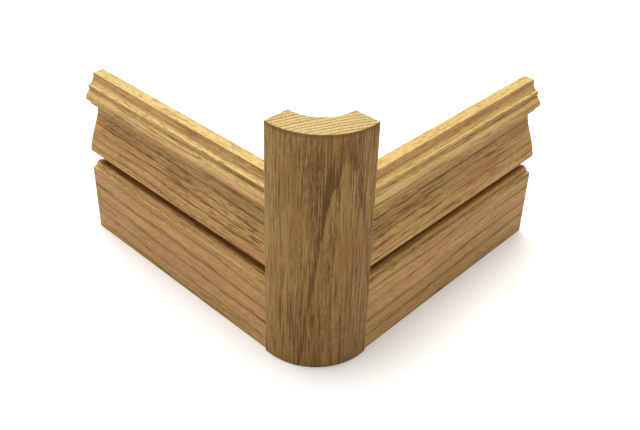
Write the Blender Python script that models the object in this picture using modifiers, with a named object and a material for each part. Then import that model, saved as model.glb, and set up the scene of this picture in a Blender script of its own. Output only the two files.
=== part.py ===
"""Corner base block for a rounded outside wall corner, with a length of base moulding on each side.

The two wall faces are the planes y = 0 (left wall, running to -X) and x = 0 (right wall, running to +Y).
The origin is the point on the floor where those planes meet. Metres, +Z up.
"""

import math

import bmesh
import bpy

# Corner block
BLOCK_HEIGHT = 0.140
WALL_CORNER_RADIUS = 0.01905    # rounding of the wall corner that the hollow back goes round
HOLLOW_CLEARANCE = 0.0006       # room between that rounding and the hollow
BACK_LAND = 0.0022              # flat strip beside the hollow, lying on the wall
BLOCK_PROUD = 0.0010            # how far the block stands out past the mouldings
FRONT_RISE = 0.0127             # height of the round front over the chord between its two corners
BLOCK_ARRIS = 0.0004            # softening of the block's sharp edges

# Base mouldings
LEFT_LENGTH = 0.1525
RIGHT_LENGTH = 0.1507
JOINT_GAP = 0.0003              # between a moulding's end and the block

# Moulding profile: distances from the wall
PLINTH_DEPTH = 0.0146           # the flat lower face
LEDGE_DEPTH = 0.0122            # inner edge of the narrow ledge on top of the plinth
ROLL_DEPTH = 0.0092             # inner edge of the rounded step above that ledge
GROOVE_DEPTH = 0.0060           # back of the groove
LIP_DEPTH = 0.0144              # nose of the lip over the groove
NECK_DEPTH = 0.0068             # thinnest place, under the beads
FILLET_DEPTH = 0.0107           # narrow flat under the large bead
BEAD_DEPTH = 0.0136             # nose of the large bead
CREASE_DEPTH = 0.0103           # between the two beads
SMALL_BEAD_DEPTH = 0.0110       # nose of the small bead
CAVETTO_DEPTH = 0.0102          # foot of the hollow under the flat top
CAP_DEPTH = 0.0069              # flat top

# Moulding profile: heights, stacked from the floor up
PLINTH_HEIGHT = 0.0440
LEDGE_HEIGHT = 0.0005           # slight rise of the ledge towards the wall
ROLL_HEIGHT = 0.0026
GROOVE_FALL = 0.0009            # drop of the groove's floor from the roll to its back
GROOVE_WALL = 0.0035            # upright back of the groove
UNDERCUT_HEIGHT = 0.0056        # slope from there out to the lip
LIP_HEIGHT = 0.0032             # rounded nose of the lip
LIP_BULGE = 0.0004              # how far that nose stands out past its two edges
FACE_HEIGHT = 0.0225            # long face from the lip up to the neck
COVE_HEIGHT = 0.0050
FILLET_HEIGHT = 0.0024
BEAD_UNDERSIDE = 0.0030         # rounded underside of the large bead, up to its nose
BEAD_SLOPE = 0.0048             # its top, sloping back from the nose
BEAD_BULGE = 0.00035            # how far that top stands out past a straight line
SMALL_BEAD_HEIGHT = 0.0026
CAVETTO_HEIGHT = 0.0056
CAP_ARRIS = 0.0003              # softening of the flat top's front edge

# Straight pieces in each round stretch
FRONT_STEPS = 40
HOLLOW_STEPS = 24
FACE_STEPS = 12
BEAD_STEPS = 10
QUARTER_STEPS = 7

WELD_DISTANCE = 0.00001

hollow_radius = WALL_CORNER_RADIUS + HOLLOW_CLEARANCE
side_distance = hollow_radius + BACK_LAND       # from the origin to the block's two side faces
block_depth = PLINTH_DEPTH + BLOCK_PROUD        # how far those side faces stand out from the wall


def clear_scene():
    for old in list(bpy.data.objects):
        bpy.data.objects.remove(old, do_unlink=True)


def wood(name, colour, roughness):
    material = bpy.data.materials.new(name)
    material.use_nodes = True
    shader = material.node_tree.nodes["Principled BSDF"]
    shader.inputs["Base Color"].default_value = (*colour, 1.0)
    shader.inputs["Roughness"].default_value = roughness
    shader.inputs["Metallic"].default_value = 0.0
    return material


def arc(centre, radius, start, end, steps):
    """Points along a circle's arc, both ends included; angles in radians."""
    points = []
    for i in range(steps + 1):
        angle = start + (end - start) * i / steps
        points.append((centre[0] + radius * math.cos(angle), centre[1] + radius * math.sin(angle)))
    return points


def block_plan():
    """The block seen from above: round front, two side faces square to the walls, hollow back."""
    left_corner = (-side_distance, -block_depth)
    right_corner = (block_depth, side_distance)
    half_chord = math.hypot(right_corner[0] - left_corner[0], right_corner[1] - left_corner[1]) / 2
    front_radius = (half_chord**2 + FRONT_RISE**2) / (2 * FRONT_RISE)
    # The front's centre lies on the corner's bisector, behind the chord's middle.
    back = (front_radius - FRONT_RISE) / math.sqrt(2)
    front_centre = ((left_corner[0] + right_corner[0]) / 2 - back, (left_corner[1] + right_corner[1]) / 2 + back)
    half_angle = math.atan2(half_chord, front_radius - FRONT_RISE)
    middle = math.radians(-45)
    front = arc(front_centre, front_radius, middle - half_angle, middle + half_angle, FRONT_STEPS)
    hollow_centre = (-hollow_radius, hollow_radius)
    hollow = arc(hollow_centre, hollow_radius, 0.0, math.radians(-90), HOLLOW_STEPS)
    return front + [(0.0, side_distance)] + hollow + [(-side_distance, 0.0)]


def quarter(start, end, upright_first):
    """Quarter ellipse between two profile points, the start left out.

    It leaves the start upright and meets the end level, or the other way about.
    """
    points = []
    for i in range(1, QUARTER_STEPS + 1):
        angle = math.radians(90) * i / QUARTER_STEPS
        late, early = 1 - math.cos(angle), math.sin(angle)
        across, up = (late, early) if upright_first else (early, late)
        points.append((start[0] + (end[0] - start[0]) * across, start[1] + (end[1] - start[1]) * up))
    return points


def bead(start, nose_depth, end):
    """Half-round bulge from start to end, reaching nose_depth at mid height; the start is left out."""
    points = []
    for i in range(1, BEAD_STEPS + 1):
        angle = math.radians(180) * i / BEAD_STEPS
        share = (1 - math.cos(angle)) / 2
        base = start[0] + (end[0] - start[0]) * share
        points.append((base + (nose_depth - base) * math.sin(angle), start[1] + (end[1] - start[1]) * share))
    return points


def bulged(start, end, bulge):
    """Slope from start to end, standing out from the straight line by bulge at mid length; the start is left out."""
    points = []
    for i in range(1, QUARTER_STEPS + 1):
        share = i / QUARTER_STEPS
        base = start[0] + (end[0] - start[0]) * share
        points.append((base + bulge * math.sin(math.pi * share), start[1] + (end[1] - start[1]) * share))
    return points


def cyma(start, end):
    """Long S-shaped face, steeper at its two ends than in the middle; the start is left out."""
    points = []
    for i in range(1, FACE_STEPS + 1):
        share = i / FACE_STEPS
        across = 0.4 * share + 0.6 * (3 * share**2 - 2 * share**3)
        points.append((start[0] + (end[0] - start[0]) * across, start[1] + (end[1] - start[1]) * share))
    return points


def moulding_profile():
    """Cross-section as (distance from the wall, height), from the back of the underside round to the top."""
    height = PLINTH_HEIGHT
    points = [(0.0, 0.0), (PLINTH_DEPTH, 0.0), (PLINTH_DEPTH, height)]
    height += LEDGE_HEIGHT
    points.append((LEDGE_DEPTH, height))
    height += ROLL_HEIGHT
    points += quarter(points[-1], (ROLL_DEPTH, height), upright_first=True)
    height -= GROOVE_FALL
    points.append((GROOVE_DEPTH, height))
    height += GROOVE_WALL
    points.append((GROOVE_DEPTH, height))
    height += UNDERCUT_HEIGHT
    points.append((LIP_DEPTH - LIP_BULGE, height))
    height += LIP_HEIGHT
    points += bead(points[-1], LIP_DEPTH, (LIP_DEPTH - LIP_BULGE, height))
    height += FACE_HEIGHT
    points += cyma(points[-1], (NECK_DEPTH, height))
    height += COVE_HEIGHT
    points += quarter(points[-1], (FILLET_DEPTH, height), upright_first=True)
    height += FILLET_HEIGHT
    points.append((FILLET_DEPTH, height))
    height += BEAD_UNDERSIDE
    points += quarter(points[-1], (BEAD_DEPTH, height), upright_first=False)
    height += BEAD_SLOPE
    points += bulged(points[-1], (CREASE_DEPTH, height), BEAD_BULGE)
    height += SMALL_BEAD_HEIGHT
    points += bead(points[-1], SMALL_BEAD_DEPTH, (CAVETTO_DEPTH, height))
    height += CAVETTO_HEIGHT
    points += quarter(points[-1], (CAP_DEPTH, height), upright_first=False)
    height += CAP_ARRIS
    points.append((CAP_DEPTH, height))
    height += CAP_ARRIS
    points += [(CAP_DEPTH - CAP_ARRIS, height), (0.0, height)]
    return points


def prism(name, outline, length, location, rotation, material, collection):
    """Solid of a flat outline, extruded evenly both ways from its plane."""
    flat = bpy.data.curves.new(name, "CURVE")
    flat.dimensions = "2D"
    flat.fill_mode = "BOTH"
    flat.extrude = length / 2
    spline = flat.splines.new("POLY")
    spline.points.add(len(outline) - 1)
    for point, (x, y) in zip(spline.points, outline):
        point.co = (x, y, 0.0, 1.0)
    spline.use_cyclic_u = True
    guide = bpy.data.objects.new(name, flat)
    guide.location = location
    guide.rotation_euler = rotation
    collection.objects.link(guide)
    bpy.context.view_layer.update()
    mesh = bpy.data.meshes.new_from_object(guide.evaluated_get(bpy.context.evaluated_depsgraph_get()))
    placed = guide.matrix_world.copy()
    bpy.data.objects.remove(guide, do_unlink=True)
    weld(mesh)
    solid = bpy.data.objects.new(name, mesh)
    solid.matrix_world = placed
    mesh.materials.clear()
    mesh.materials.append(material)
    mesh.shade_smooth()
    mesh.set_sharp_from_angle(angle=math.radians(25))
    collection.objects.link(solid)
    return solid


def weld(mesh):
    """Joins an extruded outline's caps to its sides."""
    work = bmesh.new()
    work.from_mesh(mesh)
    bmesh.ops.remove_doubles(work, verts=work.verts, dist=WELD_DISTANCE)
    bmesh.ops.dissolve_limit(work, angle_limit=math.radians(0.5), verts=work.verts, edges=work.edges)
    bmesh.ops.recalc_face_normals(work, faces=work.faces)
    work.to_mesh(mesh)
    work.free()


def corner_block(material, collection):
    middle = (0.0, 0.0, BLOCK_HEIGHT / 2)
    block = prism("corner_block", block_plan(), BLOCK_HEIGHT, middle, (0.0, 0.0, 0.0), material, collection)
    arris = block.modifiers.new("Arris", "BEVEL")
    arris.width = BLOCK_ARRIS
    arris.segments = 2
    arris.limit_method = "ANGLE"
    arris.angle_limit = math.radians(30)
    return block


def moulding(name, length, on_left_wall, material, collection):
    """A moulding's profile stands upright with its back on the wall and runs away from the block."""
    distance = side_distance + JOINT_GAP + length / 2
    upright = math.radians(90)
    if on_left_wall:
        location, rotation = (-distance, 0.0, 0.0), (upright, 0.0, math.radians(-90))
    else:
        location, rotation = (0.0, distance, 0.0), (upright, 0.0, 0.0)
    return prism(name, moulding_profile(), length, location, rotation, material, collection)


def main():
    clear_scene()
    collection = bpy.data.collections.new("corner_base_block")
    bpy.context.scene.collection.children.link(collection)
    block_oak = wood("block_oak", (0.36, 0.24, 0.11), 0.55)
    moulding_oak = wood("moulding_oak", (0.46, 0.29, 0.13), 0.55)
    corner_block(block_oak, collection)
    moulding("left_base_moulding", LEFT_LENGTH, True, moulding_oak, collection)
    moulding("right_base_moulding", RIGHT_LENGTH, False, moulding_oak, collection)


main()
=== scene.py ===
# Oak corner base block between two cut lengths of base moulding, for a rounded outside wall corner.
import math

import bmesh
import bpy
import numpy as np
from mathutils import Matrix, Vector
from mathutils.geometry import tessellate_polygon


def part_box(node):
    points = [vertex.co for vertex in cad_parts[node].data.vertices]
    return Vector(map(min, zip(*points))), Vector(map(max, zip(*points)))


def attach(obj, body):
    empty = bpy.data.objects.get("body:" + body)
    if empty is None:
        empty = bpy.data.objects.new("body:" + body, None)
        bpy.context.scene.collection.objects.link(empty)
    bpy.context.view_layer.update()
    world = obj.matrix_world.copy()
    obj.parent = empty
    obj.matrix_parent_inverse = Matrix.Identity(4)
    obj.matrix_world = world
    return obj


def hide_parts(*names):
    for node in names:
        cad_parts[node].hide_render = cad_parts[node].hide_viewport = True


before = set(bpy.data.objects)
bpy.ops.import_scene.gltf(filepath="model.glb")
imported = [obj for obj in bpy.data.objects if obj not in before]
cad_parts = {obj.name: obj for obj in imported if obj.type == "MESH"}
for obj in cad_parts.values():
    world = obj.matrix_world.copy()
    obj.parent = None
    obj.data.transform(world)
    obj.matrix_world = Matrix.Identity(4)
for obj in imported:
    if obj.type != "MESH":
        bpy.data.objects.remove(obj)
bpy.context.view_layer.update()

scene = bpy.context.scene
scene.view_settings.view_transform = "Standard"
mm = 0.001
print("frame loaded:", ", ".join(sorted(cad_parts)))


# Outlines: rows of (x, y) in millimetres, drawn with a point every fine step

fine = 0.05             # millimetres
turnWeight = 12         # how strongly the kept points crowd where the outline turns
turnReach = 4           # fine steps to either side over which the turn is measured
endRings = 5            # rings of points on each softened end
mergeWithin = 0.0005    # millimetres


def straight(start, end):
    # evenly spaced points from start to end
    return np.linspace(start, end, max(2, int(math.dist(start, end) / fine)))


def bead(start, end, nose):
    # height goes by (1 - cos(angle)) / 2 over half a turn, depth is chord + (nose - chord) * sin(angle)
    angle = np.linspace(0, math.pi, int(2 * math.dist(start, end) / fine))
    share = (1 - np.cos(angle)) / 2
    chord = start[0] + (end[0] - start[0]) * share
    return np.stack([chord + (nose - chord) * np.sin(angle), start[1] + (end[1] - start[1]) * share], 1)


def quarter(start, end, uprightFirst):
    # quarter of an ellipse: one direction goes by sin(angle) and the other by 1 - cos(angle)
    angle = np.linspace(0, math.pi / 2, int(1.6 * math.dist(start, end) / fine))
    early, late = np.sin(angle), 1 - np.cos(angle)
    across, up = (late, early) if uprightFirst else (early, late)
    return np.stack([start[0] + (end[0] - start[0]) * across, start[1] + (end[1] - start[1]) * up], 1)


def bulged(start, end, bulge):
    # straight slope that stands out by bulge * sin(angle) over half a turn
    share = np.linspace(0, 1, int(math.dist(start, end) / fine))
    across = start[0] + (end[0] - start[0]) * share + bulge * np.sin(math.pi * share)
    return np.stack([across, start[1] + (end[1] - start[1]) * share], 1)


def sCurve(start, end):
    # height goes by an even share s, depth by 0.4 s + 0.6 (3 s^2 - 2 s^3)
    share = np.linspace(0, 1, int(math.dist(start, end) / fine))
    across = 0.4 * share + 0.6 * (3 * share**2 - 2 * share**3)
    return np.stack([start[0] + (end[0] - start[0]) * across, start[1] + (end[1] - start[1]) * share], 1)


def circleArc(centre, radius, start, end):
    # points at radius from the centre, the angle going evenly from start to end
    angle = np.linspace(start, end, int(abs(end - start) * radius / fine))
    return np.stack([centre[0] + radius * np.cos(angle), centre[1] + radius * np.sin(angle)], 1)


def evenly(points):
    # the same outline with its points one fine step apart along it
    apart = np.linalg.norm(np.diff(points, axis=0), axis=1)
    points = points[np.r_[True, apart > 1e-7]]
    along = np.r_[0, np.cumsum(np.linalg.norm(np.diff(points, axis=0), axis=1))]
    even = np.linspace(0, along[-1], int(along[-1] / fine) + 1)
    return np.stack([np.interp(even, along, points[:, k]) for k in (0, 1)], 1)


def easedLoop(sides, reach):
    # Joins the sides into a closed loop. Each point then moves to the weighted mean of the points
    # within reach, the weight falling off as a raised cosine, which rounds every arris a little.
    loop = np.concatenate([evenly(side)[:-1] for side in sides])
    half = int(reach / fine)
    weight = 1 + np.cos(np.linspace(-math.pi, math.pi, 2 * half + 1))
    padded = np.concatenate([loop[-half:], loop, loop[:half]])
    return np.stack([np.convolve(padded[:, k], weight / weight.sum(), "valid") for k in (0, 1)], 1)


def sectionPoints(sides, reach, count):
    # Points of the eased loop, closer together where it turns: each step between two points holds
    # the same share of the running sum of 1 + turnWeight * (radians turned per millimetre).
    loop = easedLoop(sides, reach)
    ahead = np.roll(loop, -turnReach, 0) - loop
    behind = loop - np.roll(loop, turnReach, 0)
    cross = behind[:, 0] * ahead[:, 1] - behind[:, 1] * ahead[:, 0]
    turned = np.abs(np.arctan2(cross, (behind * ahead).sum(1))) / (turnReach * fine)
    total = np.r_[0, np.cumsum(1 + turnWeight * turned)]
    position = np.interp(np.linspace(0, total[-1], count + 1)[:-1], total, np.arange(len(total)))
    closed = np.concatenate([loop, loop[:1]])
    return np.stack([np.interp(position, np.arange(len(closed)), closed[:, k]) for k in (0, 1)], 1)


def shrunkRing(section, inward, by):
    # The section moved inwards. Points that come closer than that to another part of it, as at a
    # sharp corner, go onto the line between the good ones beside them.
    ring = section + by * inward
    gap = np.linalg.norm(ring[:, None] - section[None], axis=2).min(1)
    order = np.arange(len(ring))
    good = gap > 0.97 * by - 1e-9
    return np.stack([np.interp(order, order[good], ring[good, k], period=len(ring)) for k in (0, 1)], 1)


def sweptSolid(name, section, size, length, place):
    # The section is carried along the length. At both ends it follows a quarter circle of radius
    # easing: easing * (1 - cos(angle)) in from the end, shrunk by easing * (1 - sin(angle)).
    easing, count = size["endEasing"], len(section)
    angle = np.linspace(0, math.pi / 2, endRings + 1)[:-1]
    inFromEnd, shrunk = easing * (1 - np.cos(angle)), easing * (1 - np.sin(angle))
    between = np.linspace(easing, length - easing, size["stations"])
    along = np.concatenate([inFromEnd, between, length - inFromEnd[::-1]])
    inset = np.concatenate([shrunk, np.zeros(len(between)), shrunk[::-1]])
    tangent = np.roll(section, -1, 0) - np.roll(section, 1, 0)
    tangent /= np.linalg.norm(tangent, axis=1, keepdims=True)
    inward = np.stack([-tangent[:, 1], tangent[:, 0]], 1)
    rings = np.stack([shrunkRing(section, inward, by) for by in inset])
    heights = np.broadcast_to(along[:, None, None], (*rings.shape[:2], 1))
    points = np.concatenate([rings, heights], -1).reshape(-1, 3)
    number = np.arange(len(points)).reshape(len(along), count)
    beside = np.roll(number, -1, 1)
    sideFaces = np.stack([number[:-1], beside[:-1], beside[1:], number[1:]], -1).reshape(-1, 4)
    filled = np.array(tessellate_polygon([[Vector((*point, 0)) for point in rings[0]]]))
    faces = sideFaces.tolist() + filled.tolist() + (filled + number[-1, 0]).tolist()
    mesh = bpy.data.meshes.new(name)
    mesh.from_pydata(place(points) * mm, [], faces)
    mesh.polygons.foreach_set("use_smooth", np.arange(len(faces)) < len(sideFaces))
    work = bmesh.new()
    work.from_mesh(mesh)
    bmesh.ops.remove_doubles(work, verts=work.verts, dist=mergeWithin * mm)
    bmesh.ops.recalc_face_normals(work, faces=work.faces)
    work.to_mesh(mesh)
    work.free()
    piece = bpy.data.objects.new(name, mesh)
    scene.collection.objects.link(piece)
    print(name, len(mesh.polygons), "faces")
    return piece


# Corner block, seen from above: round front, side faces square to the walls, hollow back

blockSize = {
    "wallRounding": 19.05,      # radius of the wall corner that the back goes round
    "clearance": 0.6,
    "backLand": 2.2,            # flat strip beside the hollow
    "depth": 15.6,              # of the two side faces
    "frontRise": 12.695,        # of the round front over the chord between its corners
    "arrisReach": 1.7,          # how far to either side of a long arris it is rounded
    "endEasing": 0.6,           # radius of the arrises round both ends
    "points": 420,              # round the section
    "stations": 60,             # sections along the length
}


def blockSection(size):
    depth = size["depth"]
    hollow = size["wallRounding"] + size["clearance"]
    side = hollow + size["backLand"]
    left, right = (-side, -depth), (depth, side)
    halfChord = math.dist(left, right) / 2
    radius = (halfChord**2 + size["frontRise"] ** 2) / (2 * size["frontRise"])
    setBack = (radius - size["frontRise"]) / math.sqrt(2)
    centre = ((left[0] + right[0]) / 2 - setBack, (left[1] + right[1]) / 2 + setBack)
    halfAngle = math.atan2(halfChord, radius - size["frontRise"])
    front = circleArc(centre, radius, -math.pi / 4 - halfAngle, -math.pi / 4 + halfAngle)
    back = np.concatenate([
        straight((0, side), (0, hollow)),
        circleArc((-hollow, hollow), hollow, 0, -math.pi / 2),
        straight((-hollow, 0), (-side, 0)),
    ])
    sides = [front, straight(right, (0, side)), back, straight((-side, 0), left)]
    return sectionPoints(sides, size["arrisReach"], size["points"])


low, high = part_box("corner_block")
cornerBlock = sweptSolid("cornerBlock", blockSection(blockSize), blockSize, high.z / mm, lambda p: p)
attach(cornerBlock, "root")
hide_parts("corner_block")


# Base mouldings: depths from the wall, and heights stacked from the floor up

mouldingSize = {
    "plinthHeight": 44.0,
    "ledgeDepth": 12.2, "ledgeRise": 0.5,       # narrow ledge on top of the plinth
    "rollDepth": 9.2, "rollRise": 2.6,          # rounded step above it
    "grooveDepth": 6.0, "grooveFall": 0.9, "grooveWall": 3.5,
    "undercutRise": 5.6,
    "lipDepth": 14.4, "lipRise": 3.2, "lipBulge": 0.4,
    "neckDepth": 6.8, "faceRise": 22.5,         # S-shaped face from the lip up to the cove
    "filletDepth": 10.7, "filletRise": 2.4, "coveRise": 5.0,
    "beadDepth": 13.6, "beadUnderside": 3.0, "beadSlope": 4.8, "beadBulge": 0.35,
    "creaseDepth": 10.3,                        # between the large bead and the small one
    "smallBeadDepth": 11.0, "smallBeadRise": 2.6,
    "cavettoDepth": 10.2, "topDepth": 6.9,      # hollow up to the flat top
    "arrisReach": 0.5,
    "endEasing": 0.15,
    "points": 620,
    "stations": 60,
}


def mouldingSection(size, depth, height):
    z = size["plinthHeight"]
    front = [straight((depth, 0), (depth, z))]

    def goTo(to, rise, shape, **more):
        nonlocal z
        z += rise
        front.append(shape(front[-1][-1], (to, z), **more))

    lipEdge = size["lipDepth"] - size["lipBulge"]
    goTo(size["ledgeDepth"], size["ledgeRise"], straight)
    goTo(size["rollDepth"], size["rollRise"], quarter, uprightFirst=True)
    goTo(size["grooveDepth"], -size["grooveFall"], straight)
    goTo(size["grooveDepth"], size["grooveWall"], straight)
    goTo(lipEdge, size["undercutRise"], straight)
    goTo(lipEdge, size["lipRise"], bead, nose=size["lipDepth"])
    goTo(size["neckDepth"], size["faceRise"], sCurve)
    goTo(size["filletDepth"], size["coveRise"], quarter, uprightFirst=True)
    goTo(size["filletDepth"], size["filletRise"], straight)
    goTo(size["beadDepth"], size["beadUnderside"], quarter, uprightFirst=False)
    goTo(size["creaseDepth"], size["beadSlope"], bulged, bulge=size["beadBulge"])
    goTo(size["cavettoDepth"], size["smallBeadRise"], bead, nose=size["smallBeadDepth"])
    goTo(size["topDepth"], height - z, quarter, uprightFirst=False)
    sides = [
        np.concatenate(front),
        straight((size["topDepth"], height), (0, height)),
        straight((0, height), (0, 0)),
        straight((0, 0), (depth, 0)),
    ]
    return sectionPoints(sides, size["arrisReach"], size["points"])


low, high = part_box("left_base_moulding")
section = mouldingSection(mouldingSize, -low.y / mm, high.z / mm)
leftEnd = low.x / mm
leftMoulding = sweptSolid("leftBaseMoulding", section, mouldingSize, (high.x - low.x) / mm,
                          lambda p: np.stack([leftEnd + p[:, 2], -p[:, 0], p[:, 1]], 1))
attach(leftMoulding, "root")
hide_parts("left_base_moulding")

low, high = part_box("right_base_moulding")
rightStart = low.y / mm
rightMoulding = sweptSolid("rightBaseMoulding", section, mouldingSize, (high.y - low.y) / mm,
                           lambda p: np.stack([p[:, 0], rightStart + p[:, 2], p[:, 1]], 1))
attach(rightMoulding, "root")
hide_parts("right_base_moulding")


# Materials

class Wire:
    # One output socket in a node tree. Arithmetic on it adds Math nodes.
    def __init__(self, tree, socket=None):
        self.tree = tree
        self.socket = socket

    def node(self, kind, settings, sockets, output=0):
        made = self.tree.nodes.new("ShaderNode" + kind)
        for name, setting in settings.items():
            setattr(made, name, setting)
        for name, value in sockets.items():
            if isinstance(value, Wire):
                self.tree.links.new(value.socket, made.inputs[name])
            else:
                made.inputs[name].default_value = value
        return Wire(self.tree, made.outputs[output])

    def math(self, operation, *values):
        return self.node("Math", {"operation": operation}, dict(enumerate(values)))

    def __add__(self, other):
        return self.math("ADD", self, other)

    __radd__ = __add__

    def __sub__(self, other):
        return self.math("SUBTRACT", self, other)

    def __rsub__(self, other):
        return self.math("SUBTRACT", other, self)

    def __mul__(self, other):
        return self.math("MULTIPLY", self, other)

    __rmul__ = __mul__

    def __truediv__(self, other):
        return self.math("DIVIDE", self, other)

    def __pow__(self, other):
        return self.math("POWER", self, other)

    def step(self, low, high):
        # 0 below low, 1 above high, smooth between
        return self.node("MapRange", {"interpolation_type": "SMOOTHSTEP"},
                         {"Value": self, "From Min": low, "From Max": high})

    def noise(self, x, y, z, detail=2.0, roughness=0.5):
        # clouds about one unit across, from 0 to 1 around 0.5
        vector = self.node("CombineXYZ", {}, {0: x, 1: y, 2: z})
        return self.node("TexNoise", {}, {"Vector": vector, "Scale": 1.0, "Detail": detail,
                                          "Roughness": roughness}, "Fac")

    def blend(self, first, second):
        # colour that goes from first to second as this value goes from 0 to 1, through a Mix
        # node's colour sockets
        return self.node("Mix", {"data_type": "RGBA"}, {0: self, 6: first, 7: second}, 2)


oakFinish = {
    "roughness": 0.58,
    "poreRoughness": 0.15,
    "fibreRoughness": 0.2,
    "poreRelief": 0.8,          # shares of bumpDepth
    "fibreRelief": 0.5,
    "ringRelief": 0.15,
    "bumpDepth": 0.12,          # millimetres
    "bumpStrength": 0.3,
    "specular": 0.12,
}


def oakMaterial(name, look):
    material = bpy.data.materials.new(name)
    material.use_nodes = True
    tree = material.node_tree
    shader = tree.nodes["Principled BSDF"]
    start = Wire(tree)
    place = start.node("TexCoord", {}, {}, "Object")
    facing = start.node("NewGeometry", {}, {}, "Normal")

    grain = Vector(look["grain"]).normalized()
    outward = Vector(look["outward"])
    outward = (outward - outward.dot(grain) * grain).normalized()
    sideways = grain.cross(outward)

    def dot(vector, direction):
        return start.node("VectorMath", {"operation": "DOT_PRODUCT"}, {0: vector, 1: direction}, "Value")

    def towards(direction, origin):
        # millimetres from the origin along the direction
        return dot(place, direction / mm) - direction.dot(Vector(origin))

    def spread(centre, reach):
        # how far from a centre, 1 on the ellipsoid of that reach
        offset = start.node("VectorMath", {"operation": "SUBTRACT"}, {0: place, 1: Vector(centre) * mm}, 0)
        scaled = start.node("VectorMath", {"operation": "DIVIDE"}, {0: offset, 1: Vector(reach) * mm}, 0)
        return start.node("VectorMath", {"operation": "LENGTH"}, {0: scaled}, "Value")

    n = towards(outward, look["centre"])
    s = towards(sideways, look["centre"])
    w = towards(grain, look["centre"])
    height = towards(Vector((0, 0, 1)), (0, 0, 0))

    def patches(across, along, detail, moved=(0, 0)):
        # noise from -0.5 to 0.5 in patches of about that many millimetres across and along the
        # grain; moved takes each pattern to its own stretch of the noise
        x, y = (axis / across + by for axis, by in zip((n, s), moved))
        return start.noise(x, y, w / along, detail) - 0.5

    # growth rings: distance from the pith, drifting along the grain, with slow and fine wander
    wander = patches(25, 90, 1.0)
    wobble = patches(6, 50, 2.0, (9, 0))
    feather = patches(1.2, 34, 2.0, (0, 2))
    fromPith = n + look["pith"]
    distance = (fromPith * fromPith + s * s) ** 0.5 + look["lean"] * w
    distance = distance + look["wander"] * wander + look["wobble"] * wobble + look["feather"] * feather
    uneven = start.noise(distance / 7, 0.0, 0.0, 1.0) - 0.5
    rings = (distance + 1.2 * uneven) / look["ringWidth"] + look["shift"]
    phase = start.math("FRACT", rings)
    number = start.math("FLOOR", rings)
    luck = start.node("TexWhiteNoise", {"noise_dimensions": "1D"}, {"W": number}, "Value")
    apart = start.math("ABSOLUTE", number - look["boldRing"])
    # one ring stands out, and the others do by their luck
    bold = look["ringLeast"] + look["ringLuck"] * luck + 0.8 * (1 - apart.step(0.2, 0.8))
    calm = 1.0
    for comes, whole, amount in look["calmAbove"]:
        calm = calm - amount * height.step(comes, whole)

    # early wood: each ring starts sharply and fades out, sooner or later as its luck has it
    opening = phase.step(0.0, 0.06)
    share = look["earlyShare"]
    ring = opening * (1 - phase.step(share * (0.15 + 0.15 * luck), share * (0.55 + 0.25 * luck)))
    early = calm * ring * (look["ringEven"] + (1 - look["ringEven"]) * bold)
    edge = opening * (1 - phase.step(0.08, 0.26)) * bold

    # pores cut lengthwise: dashes along the grain, crowded in the early wood
    crowd = patches(9, 40, 1.0, (20, 0)).step(-0.08, 0.12)
    ragged = patches(5, 14, 2.0, (0, 60))
    dense = (look["poreLeast"] + 0.12 * crowd) * early
    for centre, reach, amount in look["poreCrowds"]:
        dense = dense + amount * calm * (1 - (spread(centre, reach) + 1.6 * ragged).step(0.6, 1.1))
    coarse = patches(look["poreWidth"], look["poreLength"], 1.0).step(0.15 - dense, 0.25 - dense)
    small = patches(look["lineWidth"], 25, 1.0, (7, 0)).step(0.06 - 0.06 * early, 0.16 - 0.06 * early)
    dashes = 1 - (1 - look["coarseAmount"] * coarse * calm) * (1 - look["smallAmount"] * small)

    # fibres, strands, short flecks, broad clouds and reddish places
    fibre = patches(0.7, 60, 1.0)
    strands = patches(1.8, 60, 2.0, (0, 5))
    fleck = patches(0.8, 4, 1.0, (0, 30))
    cloud = patches(26, 60, 2.0, (0, 3))
    blush = patches(12, 40, 2.0, (40, 0)).step(-0.05, 0.16)
    blush = blush + look["blushLow"] * (1 - height.step(5.0, 70.0)) * (1 - blush)
    for centre, reach, amount in look["blushSpots"]:
        blush = blush + amount * (1 - (spread(centre, reach) + 1.2 * ragged).step(0.3, 1.1))

    # faces across the grain are sawn ends; the arris round them is a little darker
    endGrain = start.math("ABSOLUTE", dot(facing, grain))
    sawn = endGrain.step(0.86, 0.98)
    arris = endGrain.step(0.1, 0.45)
    for comes, whole, amount in look["darkAbove"]:
        arris = start.math("MAXIMUM", arris, amount * height.step(comes, whole))
    arris = arris * (1 - sawn)

    # colour of the faces along the grain
    tone = (look["ringTone"] * (early * bold - 0.3) + look["fibreTone"] * fibre
            + look["strandTone"] * strands + look["cloudTone"] * cloud + look["fleckTone"] * fleck)
    for centre, reach, amount in look["stains"]:
        tone = tone + amount * (1 - (spread(centre, reach) + 1.2 * strands + cloud).step(0.15, 1.0))
    face = (0.5 + tone).blend(look["pale"], look["deep"])
    face = (blush * look["blushAmount"]).blend(face, look["blush"])
    lying = dot(facing, (0, 0, 1)).step(0.45, 0.8)
    # painted top light: faces that look up are blended towards a lighter colour, standing in for the light
    # from above
    for amount, tint in look["paintedTopLight"]:
        face = (amount * lying).blend(face, tint)
    # painted light and shade by height: colour bands lighten the roll, darken the groove and lighten the
    # large bead
    for comes, whole, fades, gone, amount, tint in look["paintedLightAndShadeBands"]:
        offWall = towards(Vector(look["fromWall"]), (0, 0, 0)).step(2.0, 4.0)   # none on the flat back
        paintedBandMask = height.step(comes, whole) * (1 - height.step(fades, gone)) * offWall
        face = (amount * paintedBandMask * (1 + 3 * strands)).blend(face, tint)
    face = (look["lyingFlecks"] * fleck * lying).blend(face, look["deep"])
    face = (edge * look["edgeAmount"] * calm).blend(face, look["pore"])
    face = dashes.blend(face, look["pore"])

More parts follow.
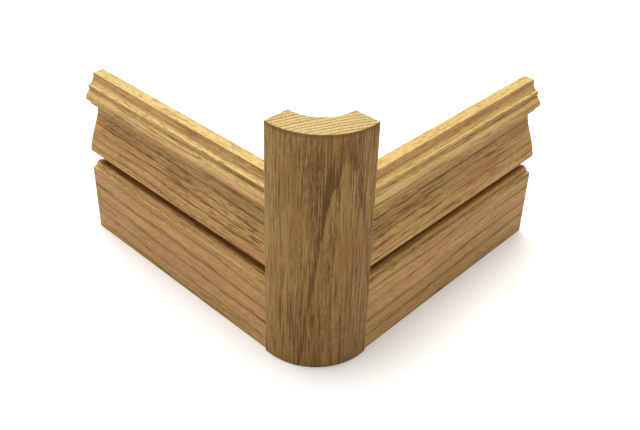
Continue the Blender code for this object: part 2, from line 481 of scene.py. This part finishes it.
    # colour of the sawn ends: rings, and rays running out from the pith
    ray = start.noise(s / 0.5, w / 5, distance / 40, 1.0).step(0.62, 0.76)
    end = (0.40 + 0.9 * (ring - 0.4) + 1.6 * fibre + 0.8 * cloud).blend(look["endPale"], look["endDeep"])
    end = (0.35 * ray + 0.5 * small).blend(end, look["endPore"])
    colour = sawn.blend(face, end)
    colour = (arris * look["arrisAmount"]).blend(colour, look["arris"])
    tree.links.new(colour.socket, shader.inputs["Base Color"])

    finish = oakFinish
    roughness = finish["roughness"] + finish["poreRoughness"] * dashes + finish["fibreRoughness"] * fibre
    tree.links.new(roughness.socket, shader.inputs["Roughness"])
    relief = (finish["fibreRelief"] * fibre - finish["poreRelief"] * dashes
              - finish["ringRelief"] * early)
    bump = start.node("Bump", {}, {"Strength": finish["bumpStrength"],
                                   "Distance": finish["bumpDepth"] * mm, "Height": relief})
    tree.links.new(bump.socket, shader.inputs["Normal"])
    shader.inputs["Specular IOR Level"].default_value = finish["specular"]
    return material


# Lengths are millimetres. Places are centre, reach along x, y and z, and amount.
blockOak = {
    "grain": (0, 0, 1),
    "outward": (0.92, -0.39, 0),    # across the growth rings
    "centre": (6, 0, 70),
    "pith": -230.0,                 # the rings' middle lies this far out in front
    "lean": 0.053,                  # how far a ring drifts per millimetre along the grain
    "wander": 1.4,                  # slow drift of the rings
    "wobble": 0.5,                  # shorter waves in them
    "feather": 1.2,                 # frayed edges
    "ringWidth": 2.4,
    "shift": -0.113,                # of all rings, in ring widths
    "boldRing": 95.0,               # number of the ring that stands out
    "earlyShare": 1.0,              # share of a ring that early wood can take
    "ringEven": 0.3,                # how alike the rings are
    "ringLeast": 0.0,               # strength of the faintest ring
    "ringLuck": 0.15,               # what luck adds to it
    "calmAbove": [],
    "darkAbove": [(137.4, 138.8, 0.8)],     # a darker line comes, is whole, and its amount
    "ringTone": 0.75,               # how much each pattern darkens or lightens the faces
    "fibreTone": 2.0,
    "strandTone": 1.2,
    "cloudTone": 0.8,
    "fleckTone": 1.6,
    "lyingFlecks": 3.5,             # more of them on faces that look up
    "stains": [
        ((-19, -15, 75), (13, 13, 95), -0.8),
        ((3.5, -8, 112), (10, 10, 40), 0.55),
        ((10, -6, 10), (25, 20, 30), 0.15),
        ((13, 5, 92), (7, 8, 42), -0.35),
    ],
    "paintedLightAndShadeBands": [],
    "poreCrowds": [((-4, -10, 30), (12, 14, 45), 0.08), ((-16, -14, 60), (8, 6, 80), 0.04)],
    "poreLeast": 0.04,              # how readily coarse pores come in early wood
    "lineWidth": 0.7,               # of the fine pores
    "poreWidth": 0.65,
    "poreLength": 16.0,
    "coarseAmount": 0.6,            # how dark the coarse pores, the fine ones and a ring's edge are
    "smallAmount": 0.6,
    "edgeAmount": 0.12,
    "pale": (0.283, 0.173, 0.057, 1),       # the wood at its lightest, and deep at its darkest
    "deep": (0.115, 0.054, 0.014, 1),
    "paintedTopLight": [],
    "blush": (0.225, 0.105, 0.028, 1),
    "blushAmount": 0.6,             # of the reddish places
    "blushSpots": [((-8, -14, 85), (8, 8, 60), 0.5)],
    "blushLow": 0.6,                # more of them towards the floor
    "pore": (0.065, 0.028, 0.008, 1),
    "endPale": (0.43, 0.32, 0.14, 1),
    "endDeep": (0.22, 0.14, 0.045, 1),
    "endPore": (0.17, 0.10, 0.03, 1),
    "arris": (0.12, 0.055, 0.016, 1),
    "arrisAmount": 0.75,
}
leftOak = {
    "grain": (1, 0, 0),
    "outward": (0, -0.97, -0.24),
    "centre": (-100, -8, 60),
    "pith": 900.0,                  # the rings' middle lies this far behind
    "lean": -0.012,
    "wander": 1.7,
    "wobble": 1.0,
    "feather": 0.5,
    "ringWidth": 2.6,
    "shift": 0.5,
    "boldRing": 0.0,        # none, as the rings here are numbered from about 340
    "earlyShare": 0.5,
    "ringEven": 0.8,
    "ringLeast": 0.4,
    "ringLuck": 0.45,
    "calmAbove": [(96.0, 101.0, 0.5)],      # heights where the pores thin out, and by how much
    "darkAbove": [],
    "ringTone": 0.35,
    "fibreTone": 1.3,
    "strandTone": 1.0,
    "cloudTone": 0.8,
    "fleckTone": 1.6,
    "lyingFlecks": 3.5,
    "stains": [
        ((-98, -11, 69), (9, 9, 7), 0.45),
        ((-130, -14, 42), (45, 6, 7), 0.25),
    ],
    "fromWall": (0, -1, 0),         # straight out from the flat back
    # painted light and shade by height: heights where a colour comes, is whole, fades and is gone, its
    # amount, and the colour
    "paintedLightAndShadeBands": [
        # lighter roll under the lip: painted light where the lip keeps the light off
        (43.9, 44.6, 46.0, 47.2, 0.6, (0.56, 0.30, 0.115, 1)),
        # darker groove under the lip: painted shade of the recess
        (46.2, 47.4, 51.0, 54.0, 0.75, (0.26, 0.09, 0.018, 1)),
        # paler large bead: painted highlight
        (90.0, 92.5, 94.8, 96.6, 0.24, (0.58, 0.43, 0.19, 1)),
    ],
    "poreCrowds": [
        ((-72, -11, 71), (55, 12, 11), 0.09),
        ((-160, -9, 77), (24, 8, 6), 0.09),
        ((-40, -12, 62), (25, 9, 5), 0.06),
    ],
    "poreLeast": 0.08,
    "lineWidth": 0.9,
    "poreWidth": 0.65,
    "poreLength": 10.0,
    "coarseAmount": 0.75,
    "smallAmount": 0.32,
    "edgeAmount": 0.45,
    "pale": (0.455, 0.279, 0.102, 1),
    "deep": (0.235, 0.12, 0.034, 1),
    # painted top light: a lighter colour laid on faces that look up
    "paintedTopLight": [(0.8, (0.475, 0.355, 0.137, 1))],       # amount and colour on faces that look up
    "blush": (0.38, 0.175, 0.068, 1),
    "blushAmount": 0.5,
    "blushSpots": [((-98, -11, 69), (9, 9, 8), 1.2), ((-60, -14, 42), (50, 6, 6), 0.6)],
    "blushLow": 0.25,
    "pore": (0.11, 0.05, 0.013, 1),
    "endPale": (0.40, 0.27, 0.11, 1),
    "endDeep": (0.26, 0.16, 0.06, 1),
    "endPore": (0.16, 0.09, 0.03, 1),
    "arris": (0.30, 0.17, 0.06, 1),
    "arrisAmount": 0.4,
}
rightOak = {
    **leftOak,
    "grain": (0, 1, 0),
    "outward": (0.97, 0, -0.24),
    "centre": (8, 100, 55),
    "lean": 0.007,
    "shift": 0.17,
    "pale": (0.47, 0.287, 0.101, 1),
    "deep": (0.26, 0.135, 0.037, 1),
    "fromWall": (1, 0, 0),
    "blushSpots": [((11, 131, 66), (9, 10, 8), 1.0), ((12, 78, 65), (8, 9, 5), 0.8)],
    "poreLength": 16.0,
    # painted top light: a lighter colour laid on faces that look up
    "paintedTopLight": [(0.8, (0.45, 0.327, 0.117, 1))],
    "poreCrowds": [
        ((10, 58, 75), (12, 42, 8), 0.10),
        ((10, 110, 77), (10, 40, 5), 0.08),
        ((12, 78, 66), (8, 12, 5), 0.08),
        ((12, 131, 67), (9, 11, 9), 0.08),
        ((12, 30, 64), (8, 10, 7), 0.09),
    ],
    "stains": [
        ((11, 130, 64), (6, 9, 6), 0.35),
        ((14, 80, 42), (6, 50, 7), 0.2),
    ],
}
cornerBlock.data.materials.append(oakMaterial("blockOak", blockOak))
leftMoulding.data.materials.append(oakMaterial("leftOak", leftOak))
rightMoulding.data.materials.append(oakMaterial("rightOak", rightOak))
print("materials made")


# Floor, light and camera

studio = {
    "floorHalf": 60.0,                  # metres
    "floorDrop": 0.05,                  # millimetres below the object
    "floorColour": (0.715, 0.705, 0.68, 1),
    "floorRoughness": 0.9,
    "skyStrength": 0.40,
    "rimStrength": 1.1,                 # pale band just above the floor's far edge
    "rimRise": (0.09, 0.2),             # where it starts to fade and is gone, as a share of straight up
    "keyFrom": (-0.30, 0.08, 1.35),     # towards the large soft light
    "keySpread": 56,                    # degrees
    "keyStrength": 5.65,
}
half = studio["floorHalf"]
floorMesh = bpy.data.meshes.new("floor")
drop = -studio["floorDrop"] * mm
corners = [(-half, -half, drop), (half, -half, drop), (half, half, drop), (-half, half, drop)]
floorMesh.from_pydata(corners, [], [(0, 1, 2, 3)])
floor = bpy.data.objects.new("floor", floorMesh)
scene.collection.objects.link(floor)
floorPaint = bpy.data.materials.new("floorPaint")
floorPaint.use_nodes = True
paint = floorPaint.node_tree.nodes["Principled BSDF"].inputs
paint["Base Color"].default_value = studio["floorColour"]
paint["Roughness"].default_value = studio["floorRoughness"]
floorMesh.materials.append(floorPaint)

world = bpy.data.worlds.new("softBox")
world.use_nodes = True
sky = Wire(world.node_tree)
direction = sky.node("TexCoord", {}, {}, "Generated")
rise = sky.node("SeparateXYZ", {}, {0: direction}, "Z")
rim = 1 - rise.step(*studio["rimRise"])
brightness = studio["skyStrength"] + (studio["rimStrength"] - studio["skyStrength"]) * rim
background = world.node_tree.nodes["Background"].inputs
world.node_tree.links.new(brightness.socket, background["Strength"])
background["Color"].default_value = (1, 1, 1, 1)
scene.world = world

keyData = bpy.data.lights.new("keyLight", "SUN")
keyData.angle = math.radians(studio["keySpread"])
keyData.energy = studio["keyStrength"]
keyLight = bpy.data.objects.new("keyLight", keyData)
keyLight.location = studio["keyFrom"]
keyLight.rotation_euler = Vector(studio["keyFrom"]).to_track_quat("Z", "Y").to_euler()
scene.collection.objects.link(keyLight)

cameraView = {
    "place": (226.23, -244.15, 332.55),     # millimetres
    "yaw": 42.946,
    "pitch": 31.717,
    "roll": 1.721,
    "focalPixels": 869.6,                   # focal length in pixels of the photograph's width
    "imageWidth": 640,
    "shiftY": -0.1,
}
yaw, pitch, roll = (math.radians(cameraView[k]) for k in ("yaw", "pitch", "roll"))
sight = Vector((-math.sin(yaw) * math.cos(pitch), math.cos(yaw) * math.cos(pitch), -math.sin(pitch)))
level = Vector((math.cos(yaw), math.sin(yaw), 0))
upright = level.cross(sight)
across = math.cos(roll) * level + math.sin(roll) * upright
upward = math.cos(roll) * upright - math.sin(roll) * level
cameraData = bpy.data.cameras.new("camera")
cameraData.sensor_width = 36
cameraData.lens = cameraView["focalPixels"] / cameraView["imageWidth"] * cameraData.sensor_width
cameraData.shift_y = cameraView["shiftY"]
camera = bpy.data.objects.new("camera", cameraData)
camera.matrix_world = Matrix.Translation(Vector(cameraView["place"]) * mm) @ Matrix(
    (across, upward, -sight)).transposed().to_4x4()
scene.collection.objects.link(camera)
scene.camera = camera
print("studio made")
